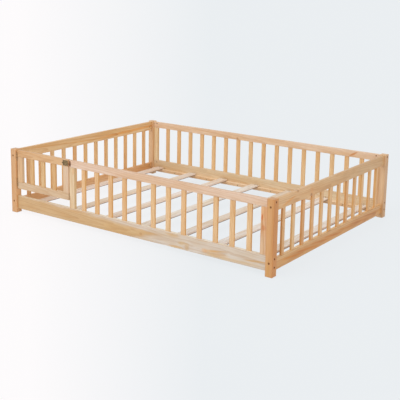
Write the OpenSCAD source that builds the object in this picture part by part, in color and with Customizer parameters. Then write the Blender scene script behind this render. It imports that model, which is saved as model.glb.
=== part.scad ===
// Low floor bed for a full-size mattress: four slatted fence panels between square
// posts, a small swing gate with a slide bolt, and seven bed slats on two cleats.
// Millimetres. +X runs along the bed, the gate is at -X on the front (-Y) side, +Z is up.
// The origin lies on the floor, under the middle of the bed.

/* [Bed] */
// Length over the posts
bed_l = 2008; // [1700:4:2200]
// Width over the posts
bed_w = 1476; // [1000:4:1800]
// Height of the posts
post_h = 428; // [400:2:600]
// Side of a post's square section
post_s = 45; // [42:1:60]
// Edge radius of the posts
post_round = 3; // [1:0.5:6]

/* [Fence panels] */
// Thickness of rails, boards and stiles
panel_t = 20; // [18:0.5:24]
// Set-back of the panels from the posts' outer faces
panel_set = 12; // [10:0.5:16]
// Drop of the top rails below the posts' tops
top_drop = 5; // [1:1:20]
// Height of the front and back top rails
side_rail_h = 45; // [42:1:60]
// Height of the front and back bottom boards
side_board_h = 87; // [84:1:120]
// Height of the left and right top rails
end_rail_h = 65; // [60:1:90]
// Height of the left and right bottom boards
end_board_h = 65; // [62:1:90]
// Height of the bottom boards above the floor
board_z = 28; // [20:1:60]
// Width of the front panel's stiles
stile_w = 42; // [36:1:60]
// Width of the back panel's stiles
back_stile_w = 38; // [34:1:60]
// Edge radius of rails, boards and stiles
bar_round = 2; // [0.5:0.5:4]

/* [Fence slats] */
// Width of a fence slat
slat_w = 30; // [20:1:40]
// Thickness of a fence slat
slat_t = 12; // [8:0.5:14]
// Spacing of the fence slats, centre to centre
slat_pitch = 110; // [90:1:130]
// Least room left between a panel's last slat and its frame
slat_end_gap = 40; // [30:1:50]
// Depth of the mortises that hold the slats' ends
mortise = 8; // [5:0.5:10]
// Edge radius of the slats
slat_round = 1.5; // [0.5:0.5:3]

/* [Bed slats] */
// Number of bed slats
deck_n = 7; // [5:1:9]
// Width of a bed slat
deck_w = 60; // [50:1:80]
// Thickness of a bed slat
deck_t = 13; // [10:0.5:20]
// Distance from the posts' outer faces to the first bed slat's middle
deck_inset = 130; // [100:1:140]
// Room between a bed slat's end and the board
deck_play = 10; // [3:1:14]
// Height of the cleats' tops above the floor
cleat_top = 54; // [52:1:64]
// Height of a cleat
cleat_h = 22; // [20:1:24]
// Width of a cleat
cleat_w = 30; // [28:1:40]
// Room between a cleat's end and the posts
cleat_play = 1; // [0:0.5:5]

/* [Gate] */
// Width of the gate
gate_w = 465; // [400:5:600]
// Height of the gate's rails
gate_rail_h = 45; // [42:1:60]
// Width of the gate's stiles
gate_stile_w = 46; // [40:1:60]
// Number of slats in the gate
gate_slat_n = 3; // [2:1:4]
// Room under the gate, above the bottom board
gate_lift = 48; // [20:1:60]
// Gap between the gate and its hinge post
hinge_gap = 4; // [3.5:0.1:6]
// Gap between the gate and the stile it latches to
latch_gap = 8; // [6:0.5:12]

/* [Hinges] */
// Height of a hinge
hinge_h = 52; // [44:1:70]
// Distance from a hinge to the gate's nearest end
hinge_inset = 18; // [10:1:30]
// Radius of the knuckles
knuckle_r = 3; // [2.6:0.1:3.4]
// Radius of the hinge pins
hinge_pin_r = 1.5; // [1:0.1:1.8]
// Thickness of a hinge leaf
leaf_t = 1.2; // [1:0.1:1.5]
// Length of a leaf from the pin's axis
leaf_l = 20; // [18:0.5:21]

/* [Latch] */
// Radius of the bolt's rod
rod_r = 3; // [2.5:0.1:3.2]
// Travel of the bolt
latch_travel = 20; // [16:0.5:24]
// Width of one of the latch's two guides
guide_w = 8; // [6:0.5:12]
// Height of the latch and keeper plates
latch_h = 34; // [32:1:38]
// Distance from the latch plate to the gate's edge
latch_inset = 4; // [2:0.5:8]
// Distance from the keeper to the stile's edge
keeper_inset = 2; // [1:0.5:6]
// Width of the keeper
keeper_w = 10; // [8:0.5:14]
// Thickness of the latch and keeper plates
plate_t = 1.2; // [0.8:0.1:1.5]
// Radius of the bolt's knob
knob_r = 2.5; // [2:0.1:3]

/* [Joint hardware] */
// Radius of the corner bolts
bolt_r = 3; // [2.5:0.1:3.5]
// Radius of the corner bolts' heads
bolt_head_r = 6; // [5:0.1:7]
// Thickness of the corner bolts' heads
bolt_head_h = 4; // [3:0.1:5]
// Depth of the corner bolts' heads below the posts' faces
bolt_sink = 1; // [0.5:0.1:2]
// Distance from a rail's end to its barrel nut
nut_inset = 30; // [26:1:36]
// Radius of the barrel nuts
nut_r = 5; // [4.5:0.1:6]
// Length of the barrel nuts
nut_l = 14; // [13.5:0.1:15]
// Height of the end board's bolt above the bottom boards' lower edges
lower_bolt_up = 49; // [46:0.5:52]
// Spacing of the two bolts in a side board
lower_bolt_gap = 47; // [40:0.5:50]
// Depth of the end rail's bolt below the top rails' upper edges
upper_bolt_down = 39; // [36:0.5:44]
// Spacing of the side rail's bolt above the end rail's bolt
upper_bolt_gap = 27; // [24:0.5:28]
// Radius of the corner dowels
dowel_r = 4; // [3:0.1:4.5]
// Length of a corner dowel in each of its two pieces
dowel_reach = 12; // [8:0.5:13]
// Distance from a corner dowel to its bolt
dowel_gap = 21; // [18:0.5:22]
// Distance from the end board's dowel to its bolt
low_dowel_gap = 29; // [26:1:30]
// Radius of the stile dowels
pin_r = 3; // [2:0.1:3.5]
// Length of a stile dowel in each of its two pieces
pin_reach = 10; // [6:0.5:10.5]

/* [Screws] */
// Shank radius of the screws in hinges and latch
small_screw_r = 1.4; // [1:0.1:1.6]
// Length of the screws in hinges and latch
small_screw_l = 13; // [10:0.5:16]
// Shank radius of the wood screws
wood_screw_r = 2; // [1.5:0.1:2.5]
// Length of the screws through the bed slats
deck_screw_l = 30; // [24:1:32]
// Length of the screws through the cleats
cleat_screw_l = 42; // [38:1:45]

/* [Clearances] */
// Radial play of hinge pins and of the bolt in its guides
run_play = 0.05; // [0.02:0.01:0.1]
// Play of the bolt in its keeper
keeper_play = 0.4; // [0.3:0.05:0.8]
// Radial play of the corner bolts in the wood
bolt_play = 0.25; // [0.1:0.05:0.5]
// Play of dowels, nuts, slats and screws in their holes
fit_play = 0.1; // [0.05:0.01:0.2]
// Gap between neighbouring knuckles
knuckle_play = 0.3; // [0.2:0.05:0.6]

/* [Hidden] */
$fn = 48;
cut = 0.5;

half_l = bed_l / 2;
half_w = bed_w / 2;
top_z = post_h - top_drop;
panel_in = panel_set + panel_t;
panel_mid = panel_set + panel_t / 2;

side_rail_z = top_z - side_rail_h;
side_board_z = board_z + side_board_h;
end_rail_z = top_z - end_rail_h;
end_board_z = board_z + end_board_h;
side_l = bed_l - 2 * post_s;
end_l = bed_w - 2 * post_s;

end_upper_z = top_z - upper_bolt_down;
side_upper_z = end_upper_z + upper_bolt_gap;
end_lower_z = board_z + lower_bolt_up;
side_lower_zs = [end_lower_z - lower_bolt_gap / 2, end_lower_z + lower_bolt_gap / 2];
end_dowel_zs = [end_upper_z + dowel_gap, end_lower_z - low_dowel_gap];
side_dowel_z = side_upper_z - dowel_gap;

gate_x = -half_l + post_s + hinge_gap;
gate_end_x = gate_x + gate_w;
gate_z = side_board_z + gate_lift;
gate_upper_z = top_z - gate_rail_h;
gate_lower_z = gate_z + gate_rail_h;
gate_clear_w = gate_w - 2 * gate_stile_w;
gate_slat_gap = (gate_clear_w - gate_slat_n * slat_w) / (gate_slat_n + 1);
latch_stile_x = gate_end_x + latch_gap;
end_stile_x = half_l - post_s - stile_w;
front_clear_w = end_stile_x - latch_stile_x - stile_w;
front_mid_x = latch_stile_x + stile_w + front_clear_w / 2;
panel_y = -half_w + panel_set;

deck_pitch = (bed_l - 2 * deck_inset) / (deck_n - 1);
// How far each bed slat lies right of its even place, because they are laid and screwed by hand
deck_strays = [-9, 19, 16, 4, 2, -14, -7];
deck_top = cleat_top + deck_t;
deck_l = bed_w - 2 * (panel_in + deck_play);
cleat_l = side_l - 2 * cleat_play;
deck_screw_y = half_w - panel_in - (cleat_w + deck_play) / 2;

knuckle_off = 0.3;
hinge_x = -half_l + post_s + knuckle_r + knuckle_off;
hinge_y = panel_y - knuckle_r - knuckle_off;
relief = 0.4;
leaf_relief = knuckle_r + relief;
pin_head_step = 0.6;
pin_head_r = knuckle_r - pin_head_step;
pin_head_h = 1.2;
hinge_upper_z = top_z - hinge_inset - hinge_h;
hinge_lower_z = gate_z + hinge_inset;
hinge_screw_y = hinge_y + leaf_relief + (leaf_l - leaf_relief) / 2;
hinge_screw_edge = 10;

knob_gap = 0.5;
latch_w = 2 * (guide_w + knob_r + knob_gap) + latch_travel;
latch_x = gate_end_x - latch_inset - latch_w;
latch_z = top_z - side_rail_h / 2;
latch_face_y = panel_y - plate_t;
rod_y = latch_face_y - rod_r - keeper_play;
knob_clear = 1.4;
knob_seat = 0.02;
knob_l = rod_y + half_w - knob_clear;
rod_out = 2;
rod_l = latch_w + rod_out;
rod_tip = 1;
guide_wall = 1.4;
guide_r = rod_r + guide_wall;
keeper_x = latch_stile_x + keeper_inset;
keeper_wall = 1.2;
keeper_in = rod_r + keeper_play;
latch_screw_inset = 3.8;
latch_screw_edge = 5;
small_head_r = 2.2;
small_head_h = 1;
flat_head_h = leaf_t;
wood_head_r = 3.8;
wood_head_h = 2;
bolt_beyond = 9;
bolt_l = post_s + nut_inset + bolt_beyond;
bolt_hole_spare = 1;
socket_r = 2.6;
socket_depth = 2.4;
nut_slot_w = 1.2;
nut_slot_depth = 1;

RAIL_WOOD = [0.87, 0.72, 0.53];
POST_WOOD = [0.85, 0.66, 0.46];
SLAT_WOOD = [0.90, 0.71, 0.50];
DECK_WOOD = [0.89, 0.81, 0.72];
DOWEL_WOOD = [0.82, 0.68, 0.50];
BRONZE = [0.36, 0.29, 0.20];
STEEL = [0.52, 0.45, 0.38];

DECK = [for (i = [1:deck_n]) str("bed_slat_", i)];

// ---- Shared shapes ----

// Rectangle of w by d from the origin, with rounded corners.
module rounded(w, d, r) {
    translate([r, 0]) square([w - 2 * r, d]);
    translate([0, r]) square([w, d - 2 * r]);
    for (x = [r, w - r], y = [r, d - r])
        translate([x, y]) circle(r);
}

// Bars with rounded long edges, lying along X, Y and Z, from their lowest corner.
module bar_x(l, t, h, r) {
    rotate([90, 0, 90]) linear_extrude(l) rounded(t, h, r);
}

module bar_y(l, t, h, r) {
    translate([0, l, 0]) rotate([90, 0, 0]) linear_extrude(l) rounded(t, h, r);
}

module bar_z(l, w, t, r) {
    linear_extrude(l) rounded(w, t, r);
}

// Straight cylinders along X and Y, starting at the origin.
module rod_x(l, r) {
    rotate([0, 90, 0]) cylinder(l, r, r);
}

module rod_y(l, r) {
    rotate([-90, 0, 0]) cylinder(l, r, r);
}

// Screw with a cross recess. Its head's top is at the origin and its shank goes down.
module screw(head_r, head_h, shank_r, l) {
    recess_l = 1.2 * head_r;
    recess_w = head_r / 3;
    difference() {
        union() {
            translate([0, 0, -head_h]) cylinder(head_h, head_r, head_r);
            translate([0, 0, -l]) cylinder(l, shank_r, shank_r);
        }
        for (a = [0, 90])
            rotate(a) translate([-recess_l / 2, -recess_w / 2, -head_h / 2])
                cube([recess_l, recess_w, head_h]);
    }
}

// The hole that a screw sits in.
module screw_hole(head_r, head_h, shank_r, l) {
    translate([0, 0, -head_h]) cylinder(head_h + cut, head_r + fit_play, head_r + fit_play);
    translate([0, 0, -l - fit_play]) cylinder(l, shank_r + fit_play, shank_r + fit_play);
}

// Number of slats that fit a clear width, and the first slat's middle from the centre.
function slat_n(w) = floor((w - slat_w - 2 * slat_end_gap) / slat_pitch) + 1;
function slat_places(w) = let (n = slat_n(w)) [for (i = [0:n - 1]) (i - (n - 1) / 2) * slat_pitch];

// The hole in the wood for a small screw, from the wood's face down.
module pilot_hole() {
    r = small_screw_r + fit_play;
    translate([0, 0, -small_screw_l]) cylinder(small_screw_l + cut, r, r);
}

// ---- Corner joints, drawn at the front left corner: u runs in along X, v along Y ----

// Puts its children at each of the given corners, as [-1 or 1, -1 or 1] pairs.
module at_corners(corners) {
    for (c = corners)
        translate([c[0] * half_l, c[1] * half_w, 0])
            mirror([c[0] > 0 ? 1 : 0, 0, 0]) mirror([0, c[1] > 0 ? 1 : 0, 0]) children();
}

// Swaps u and v, which turns a side joint into an end joint.
module swapped() {
    mirror([1, -1, 0]) children();
}

RAILED = [[1, -1], [-1, 1], [1, 1]];
CORNERS = concat([[-1, -1]], RAILED);

module corner_bolt() {
    translate([bolt_sink, panel_mid, 0]) difference() {
        union() {
            rod_x(bolt_head_h, bolt_head_r);
            rod_x(bolt_l - bolt_sink, bolt_r);
        }
        translate([-cut, 0, 0]) rotate([0, 90, 0])
            cylinder(socket_depth + cut, socket_r, socket_r, $fn = 6);
    }
}

module corner_bolt_hole() {
    head_l = bolt_sink + bolt_head_h;
    translate([-cut, panel_mid, 0]) {
        rod_x(bolt_l + bolt_hole_spare + cut, bolt_r + bolt_play);
        rod_x(head_l + cut, bolt_head_r + bolt_play);
    }
}

module barrel_nut() {
    difference() {
        translate([post_s + nut_inset, panel_in - nut_l, 0]) rod_y(nut_l, nut_r);
        translate([0, panel_mid, 0])
            rod_x(bolt_l, bolt_r + fit_play);
        translate([post_s + nut_inset - nut_r, panel_in - nut_slot_depth, -nut_slot_w / 2])
            cube([2 * nut_r, nut_slot_depth + cut, nut_slot_w]);
    }
}

module barrel_nut_hole() {
    translate([post_s + nut_inset, panel_in - nut_l - fit_play, 0])
        rod_y(nut_l + cut, nut_r + fit_play);
}

module corner_dowel(play) {
    reach = dowel_reach + play;
    translate([post_s - reach, panel_mid, 0]) rod_x(2 * reach, dowel_r + play);
}

// Everything drilled for the joints of a front or back panel at one corner.
module side_bores(zs, dowel_zs) {
    for (z = zs)
        translate([0, 0, z]) {
            corner_bolt_hole();
            barrel_nut_hole();
        }
    for (z = dowel_zs)
        translate([0, 0, z]) corner_dowel(fit_play);
}

module side_rail_bores() {
    side_bores([side_upper_z], [side_dowel_z]);
}

module side_board_bores() {
    side_bores(side_lower_zs, []);
}

module end_rail_bores() {
    swapped() side_bores([end_upper_z], [end_dowel_zs[0]]);
}

module end_board_bores() {
    swapped() side_bores([end_lower_z], [end_dowel_zs[1]]);
}

// ---- Posts ----

module post_bar() {
    intersection() {
        bar_z(post_h, post_s, post_s, post_round);
        bar_x(post_s, post_s, post_h, post_round);
        bar_y(post_s, post_s, post_h, post_round);
    }
}

module post(railed) {
    difference() {
        post_bar();
        if (railed) side_rail_bores();
        side_board_bores();
        end_rail_bores();
        end_board_bores();
    }
}

module post_front_left() {
    color(POST_WOOD) difference() {
        at_corners([[-1, -1]]) post(false);
        hinge_screws(false) pilot_hole();
    }
}

module post_front_right() {
    color(POST_WOOD) at_corners([[1, -1]]) post(true);
}

module post_back_left() {
    color(POST_WOOD) at_corners([[-1, 1]]) post(true);
}

module post_back_right() {
    color(POST_WOOD) at_corners([[1, 1]]) post(true);
}

// ---- Front and back panels ----

// Places children at the given X places, on the panel's middle plane at the front or back.
module along_side(y_sign, xs) {
    for (x = xs)
        translate([x, y_sign * (half_w - panel_mid), 0]) children();
}

// One slat or its mortise, centred on the origin in plan.
module slat_x(z0, z1, play) {
    w = slat_w + 2 * play;
    t = slat_t + 2 * play;
    translate([-w / 2, -t / 2, z0 - mortise - play])
        bar_z(z1 - z0 + 2 * (mortise + play), w, t, slat_round);
}

// One stile dowel or its hole, across the joint at the origin.
module stile_dowel(play) {
    translate([0, 0, -pin_reach - play])
        cylinder(2 * (pin_reach + play), pin_r + play, pin_r + play);
}

front_slat_xs = [for (x = slat_places(front_clear_w)) front_mid_x + x];
back_slat_xs = slat_places(side_l - 2 * back_stile_w);
front_stile_xs = [latch_stile_x + stile_w / 2, end_stile_x + stile_w / 2];
back_stile_x = half_l - post_s - back_stile_w / 2;
back_stile_xs = [-back_stile_x, back_stile_x];

// The mortises and dowel holes along one edge of a front or back panel's rail or board.
module side_sockets(y_sign, slat_xs, stile_xs, z) {
    along_side(y_sign, slat_xs) slat_x(side_board_z, side_rail_z, fit_play);
    translate([0, 0, z]) along_side(y_sign, stile_xs) stile_dowel(fit_play);
}

module front_top_rail() {
    color(RAIL_WOOD) difference() {
        translate([latch_stile_x, panel_y, side_rail_z])
            bar_x(half_l - post_s - latch_stile_x, panel_t, side_rail_h, bar_round);
        side_sockets(-1, front_slat_xs, front_stile_xs, side_rail_z);
        at_corners([[1, -1]]) side_rail_bores();
        keeper_screw_places() pilot_hole();
    }
}

module front_bottom_board() {
    color(RAIL_WOOD) difference() {
        translate([-side_l / 2, panel_y, board_z])
            bar_x(side_l, panel_t, side_board_h, bar_round);
        side_sockets(-1, front_slat_xs, front_stile_xs, side_board_z);
        at_corners([[-1, -1], [1, -1]]) side_board_bores();
        cleat_screw_places(-1) cleat_screw_hole();
    }
}

// A stile of width w between board and rail, with its left edge at x.
module side_stile(y_sign, x, w) {
    color(RAIL_WOOD) difference() {
        translate([x, y_sign * (half_w - panel_mid) - panel_t / 2, side_board_z])
            bar_z(side_rail_z - side_board_z, w, panel_t, bar_round);
        for (z = [side_board_z, side_rail_z])
            translate([0, 0, z]) along_side(y_sign, [x + w / 2]) stile_dowel(fit_play);
    }
}

module front_gate_stile() {
    side_stile(-1, latch_stile_x, stile_w);
}

module front_end_stile() {
    side_stile(-1, end_stile_x, stile_w);
}

module front_slats() {
    color(SLAT_WOOD) along_side(-1, front_slat_xs) slat_x(side_board_z, side_rail_z, 0);
}

module back_top_rail() {
    color(RAIL_WOOD) difference() {
        translate([-side_l / 2, half_w - panel_in, side_rail_z])
            bar_x(side_l, panel_t, side_rail_h, bar_round);
        side_sockets(1, back_slat_xs, back_stile_xs, side_rail_z);
        at_corners([[-1, 1], [1, 1]]) side_rail_bores();
    }
}

module back_bottom_board() {
    color(RAIL_WOOD) difference() {
        translate([-side_l / 2, half_w - panel_in, board_z])
            bar_x(side_l, panel_t, side_board_h, bar_round);
        side_sockets(1, back_slat_xs, back_stile_xs, side_board_z);
        at_corners([[-1, 1], [1, 1]]) side_board_bores();
        cleat_screw_places(1) cleat_screw_hole();
    }
}

module back_stile_left() {
    side_stile(1, -side_l / 2, back_stile_w);
}

module back_stile_right() {
    side_stile(1, side_l / 2 - back_stile_w, back_stile_w);
}

module back_slats() {
    color(SLAT_WOOD) along_side(1, back_slat_xs) slat_x(side_board_z, side_rail_z, 0);
}

module stile_dowels() {
    color(DOWEL_WOOD)
        for (z = [side_board_z, side_rail_z])
            translate([0, 0, z]) {
                along_side(-1, front_stile_xs) stile_dowel(0);
                along_side(1, back_stile_xs) stile_dowel(0);
            }
}

// ---- Left and right panels ----

end_slat_ys = slat_places(end_l);

module end_slats_at(x_sign, play) {
    for (y = end_slat_ys)
        translate([x_sign * (half_l - panel_mid), y, 0]) rotate(90)
            slat_x(end_board_z, end_rail_z, play);
}

module end_rail(x_sign) {
    color(RAIL_WOOD) difference() {
        translate([x_sign * (half_l - panel_mid) - panel_t / 2, -end_l / 2, end_rail_z])
            bar_y(end_l, panel_t, end_rail_h, bar_round);
        end_slats_at(x_sign, fit_play);
        at_corners([[x_sign, -1], [x_sign, 1]]) end_rail_bores();
    }
}

module end_board(x_sign) {
    color(RAIL_WOOD) difference() {
        translate([x_sign * (half_l - panel_mid) - panel_t / 2, -end_l / 2, board_z])
            bar_y(end_l, panel_t, end_board_h, bar_round);
        end_slats_at(x_sign, fit_play);
        at_corners([[x_sign, -1], [x_sign, 1]]) end_board_bores();
    }
}

module left_top_rail() {
    end_rail(-1);
}

module left_bottom_board() {
    end_board(-1);
}

module left_slats() {
    color(SLAT_WOOD) end_slats_at(-1, 0);
}

module right_top_rail() {
    end_rail(1);
}

module right_bottom_board() {
    end_board(1);
}

module right_slats() {
    color(SLAT_WOOD) end_slats_at(1, 0);
}

// ---- Bed slats and their cleats ----

function deck_stray(i) = i > len(deck_strays) ? 0 : deck_strays[i - 1];
function deck_x(i) = -half_l + deck_inset + (i - 1) * deck_pitch + deck_stray(i);
cleat_screw_xs = [for (i = [1:deck_n - 1]) (deck_x(i) + deck_x(i + 1)) / 2];

module cleat_screw() {
    screw(wood_head_r, wood_head_h, wood_screw_r, cleat_screw_l);
}

module cleat_screw_hole() {
    screw_hole(wood_head_r, wood_head_h, wood_screw_r, cleat_screw_l);
}

// Screws through a cleat: heads on its inner face, shanks pointing out to the board.
module cleat_screw_places(y_sign) {
    for (x = cleat_screw_xs)
        translate([x, y_sign * (half_w - panel_in - cleat_w), cleat_top - cleat_h / 2])
            rotate([y_sign * 90, 0, 0]) children();
}

// Screws through both ends of bed slat i.
module deck_screw_places(i) {
    for (y = [-deck_screw_y, deck_screw_y])
        translate([deck_x(i), y, deck_top]) children();
}

module deck_screw_hole() {
    screw_hole(wood_head_r, wood_head_h, wood_screw_r, deck_screw_l);
}

module cleat(y_sign) {
    color(RAIL_WOOD) difference() {
        translate([-cleat_l / 2, y_sign * (half_w - panel_in - cleat_w / 2) - cleat_w / 2,
                   cleat_top - cleat_h])
            bar_x(cleat_l, cleat_w, cleat_h, bar_round);
        cleat_screw_places(y_sign) cleat_screw_hole();
        for (i = [1:deck_n])
            deck_screw_places(i) deck_screw_hole();
    }
}

module front_cleat() {
    cleat(-1);
}

module back_cleat() {
    cleat(1);
}

module bed_slat(i) {
    color(DECK_WOOD) difference() {
        translate([deck_x(i) - deck_w / 2, -deck_l / 2, cleat_top])
            bar_y(deck_l, deck_w, deck_t, slat_round);
        deck_screw_places(i) deck_screw_hole();
    }
}

module cleat_screws() {
    color(STEEL) for (s = [-1, 1]) cleat_screw_places(s) cleat_screw();
}

module bed_slat_screws() {
    color(STEEL)
        for (i = [1:deck_n])
            deck_screw_places(i) screw(wood_head_r, wood_head_h, wood_screw_r, deck_screw_l);
}

// ---- Corner hardware ----

module side_bolts() {
    color(STEEL) {
        at_corners(RAILED) translate([0, 0, side_upper_z]) corner_bolt();
        at_corners(CORNERS) for (z = side_lower_zs) translate([0, 0, z]) corner_bolt();
    }
}

module end_bolts() {
    color(STEEL) at_corners(CORNERS) swapped()
        for (z = [end_upper_z, end_lower_z]) translate([0, 0, z]) corner_bolt();
}

module side_barrel_nuts() {
    color(STEEL) {
        at_corners(RAILED) translate([0, 0, side_upper_z]) barrel_nut();
        at_corners(CORNERS) for (z = side_lower_zs) translate([0, 0, z]) barrel_nut();
    }
}

module end_barrel_nuts() {
    color(STEEL) at_corners(CORNERS) swapped()
        for (z = [end_upper_z, end_lower_z]) translate([0, 0, z]) barrel_nut();
}

module corner_dowels() {
    color(DOWEL_WOOD) {
        at_corners(RAILED) translate([0, 0, side_dowel_z]) corner_dowel(0);
        at_corners(CORNERS) swapped()
            for (z = end_dowel_zs) translate([0, 0, z]) corner_dowel(0);
    }
}

// ---- Gate ----

gate_slat_xs = [for (i = [0:gate_slat_n - 1])
    gate_x + gate_stile_w + gate_slat_gap + slat_w / 2 + i * (slat_w + gate_slat_gap)];
gate_stile_xs = [gate_x + gate_stile_w / 2, gate_end_x - gate_stile_w / 2];

module gate_sockets(z) {
    along_side(-1, gate_slat_xs) slat_x(gate_lower_z, gate_upper_z, fit_play);
    translate([0, 0, z]) along_side(-1, gate_stile_xs) stile_dowel(fit_play);
}

module gate_hinge_holes() {
    hinge_screws(true) pilot_hole();
}

module gate_top_rail() {
    color(RAIL_WOOD) difference() {
        translate([gate_x, panel_y, gate_upper_z])
            bar_x(gate_w, panel_t, gate_rail_h, bar_round);
        gate_sockets(gate_upper_z);
        gate_hinge_holes();
        latch_screw_places() pilot_hole();
    }
}

module gate_bottom_rail() {
    color(RAIL_WOOD) difference() {
        translate([gate_x, panel_y, gate_z])
            bar_x(gate_w, panel_t, gate_rail_h, bar_round);
        gate_sockets(gate_lower_z);
        gate_hinge_holes();
    }
}

module gate_stile(x) {
    difference() {
        translate([x, panel_y, gate_lower_z])
            bar_z(gate_upper_z - gate_lower_z, gate_stile_w, panel_t, bar_round);
        for (z = [gate_lower_z, gate_upper_z])
            translate([0, 0, z]) along_side(-1, gate_stile_xs) stile_dowel(fit_play);
        gate_hinge_holes();
    }
}

module gate_hinge_stile() {
    color(RAIL_WOOD) gate_stile(gate_x);
}

module gate_latch_stile() {
    color(RAIL_WOOD) gate_stile(gate_end_x - gate_stile_w);
}

module gate_slats() {
    color(SLAT_WOOD) along_side(-1, gate_slat_xs) slat_x(gate_lower_z, gate_upper_z, 0);
}

module gate_dowels() {
    color(DOWEL_WOOD)
        for (z = [gate_lower_z, gate_upper_z])
            translate([0, 0, z]) along_side(-1, gate_stile_xs) stile_dowel(0);
}

// ---- Hinges ----

knuckle_n = 3;
knuckle_l = hinge_h / knuckle_n;

// Heights of a hinge's screws above its lower end.
hinge_screw_zs = [hinge_screw_edge, hinge_h - hinge_screw_edge];

// Screws of the two hinges, into the gate or into the post, heads flush with the leaf.
module hinge_screws(in_gate) {
    face_x = in_gate ? gate_x : gate_x - hinge_gap;
    for (z0 = [hinge_lower_z, hinge_upper_z], z = hinge_screw_zs)
        translate([face_x, hinge_screw_y, z0 + z]) rotate([0, in_gate ? -90 : 90, 0]) children();
}

// The knuckles of one leaf, as tubes still without their bore.
module knuckles(first) {
    for (i = [first:2:knuckle_n - 1])
        translate([0, 0, i * knuckle_l + knuckle_play / 2])
            cylinder(knuckle_l - knuckle_play, knuckle_r, knuckle_r);
}

// One hinge leaf around its pin's axis. The plate's inner face lies at x0.
module leaf(x0, first, tab_y) {
    difference() {
        union() {
            translate([x0, leaf_relief, 0]) cube([leaf_t, leaf_l - leaf_relief, hinge_h]);
            for (i = [first:2:knuckle_n - 1])
                translate([x0, tab_y, i * knuckle_l + knuckle_play / 2])
                    cube([leaf_t, leaf_relief - tab_y + cut, knuckle_l - knuckle_play]);
            knuckles(first);
        }
        translate([0, 0, -cut])
            cylinder(hinge_h + 2 * cut, hinge_pin_r + run_play, hinge_pin_r + run_play);
        for (z = hinge_screw_zs)
            translate([x0 - cut, leaf_relief + (leaf_l - leaf_relief) / 2, z])
                rod_x(leaf_t + 2 * cut, small_head_r + fit_play);
    }
}

module post_leaf(z) {
    color(BRONZE) translate([hinge_x, hinge_y, z]) leaf(-knuckle_r - knuckle_off, 0, 0);
}

module gate_leaf(z) {
    tab_y = hinge_pin_r + run_play + relief;
    color(BRONZE) translate([hinge_x, hinge_y, z])
        leaf(gate_x - hinge_x - leaf_t, 1, tab_y);
}

module hinge_pin(z) {
    color(BRONZE) translate([hinge_x, hinge_y, z]) {
        cylinder(hinge_h, hinge_pin_r, hinge_pin_r);
        for (end_z = [-pin_head_h, hinge_h])
            translate([0, 0, end_z]) cylinder(pin_head_h, pin_head_r, pin_head_r);
    }
}

module upper_hinge_post_leaf() {
    post_leaf(hinge_upper_z);
}

module lower_hinge_post_leaf() {
    post_leaf(hinge_lower_z);
}

module upper_hinge_gate_leaf() {
    gate_leaf(hinge_upper_z);
}

module lower_hinge_gate_leaf() {
    gate_leaf(hinge_lower_z);
}

module upper_hinge_pin() {
    hinge_pin(hinge_upper_z);
}

module lower_hinge_pin() {
    hinge_pin(hinge_lower_z);
}

// A leaf screw's flat head fills the leaf's hole, so its top stands off by the leaf.
module leaf_screw() {
    translate([0, 0, flat_head_h]) screw(small_head_r, flat_head_h, small_screw_r, small_screw_l);
}

module post_leaf_screws() {
    color(STEEL) hinge_screws(false) leaf_screw();
}

module gate_leaf_screws() {
    color(STEEL) hinge_screws(true) leaf_screw();
}

// ---- Latch ----

// Plate on the panel's front face, from x.
module face_plate(x, w) {
    translate([x, latch_face_y, latch_z - latch_h / 2]) cube([w, plate_t, latch_h]);
}

// Screws on the front face, shanks pointing back into the wood.
module face_screws(xs) {
    for (x = xs, z = [-1, 1] * (latch_h / 2 - latch_screw_edge))
        translate([x, panel_y, latch_z + z]) rotate([90, 0, 0]) children();
}

module latch_screw_places() {
    face_screws([latch_x + latch_screw_inset, latch_x + latch_w - latch_screw_inset]) children();
}

module keeper_screw_places() {
    face_screws([keeper_x + keeper_w / 2]) children();
}

module face_screw() {
    translate([0, 0, plate_t + small_head_h])
        screw(small_head_r, small_head_h, small_screw_r, small_screw_l);
}

module face_screw_hole() {
    translate([0, 0, -cut])
        cylinder(plate_t + 2 * cut, small_screw_r + fit_play, small_screw_r + fit_play);
}

module latch_body() {
    color(BRONZE) difference() {
        union() {
            face_plate(latch_x, latch_w);
            for (x = [latch_x, latch_x + latch_w - guide_w])
                translate([x, rod_y, latch_z]) {
                    rod_x(guide_w, guide_r);
                    translate([0, 0, -guide_r])
                        cube([guide_w, latch_face_y - rod_y, 2 * guide_r]);
                }
        }
        translate([latch_x - cut, rod_y, latch_z]) rod_x(latch_w + 2 * cut, rod_r + run_play);
        latch_screw_places() face_screw_hole();
    }
}

// The rod stands drawn back at rest, with its tip short of the gate's edge.
module latch_bolt() {
    color(BRONZE) translate([latch_x, rod_y, latch_z]) {
        rod_x(rod_l - rod_tip, rod_r);
        translate([rod_l - rod_tip, 0, 0]) rotate([0, 90, 0])
            cylinder(rod_tip, rod_r, rod_r - rod_tip);
    }
}

// Knob with a thin stem that is seated on the rod.
module latch_knob() {
    color(BRONZE)
        translate([latch_x + guide_w + knob_gap + knob_r, rod_y - knob_l, latch_z])
            difference() {
                rod_y(knob_l, knob_r);
                translate([-2 * knob_r, knob_l, 0]) rod_x(4 * knob_r, rod_r + knob_seat);
            }
}

module latch_screws() {
    color(STEEL) latch_screw_places() face_screw();
}

module latch_keeper() {
    color(BRONZE) difference() {
        union() {
            face_plate(keeper_x, keeper_w);
            translate([keeper_x, rod_y - keeper_in - keeper_wall,
                       latch_z - keeper_in - keeper_wall])
                bar_x(keeper_w, panel_y - rod_y + keeper_in + keeper_wall,
                      2 * (keeper_in + keeper_wall), keeper_wall);
        }
        translate([keeper_x - cut, rod_y - keeper_in, latch_z - keeper_in])
            cube([keeper_w + 2 * cut, latch_face_y - rod_y + keeper_in, 2 * keeper_in]);
        keeper_screw_places() face_screw_hole();
    }
}

module keeper_screws() {
    color(STEEL) keeper_screw_places() face_screw();
}

// ---- Assembly ----

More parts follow.
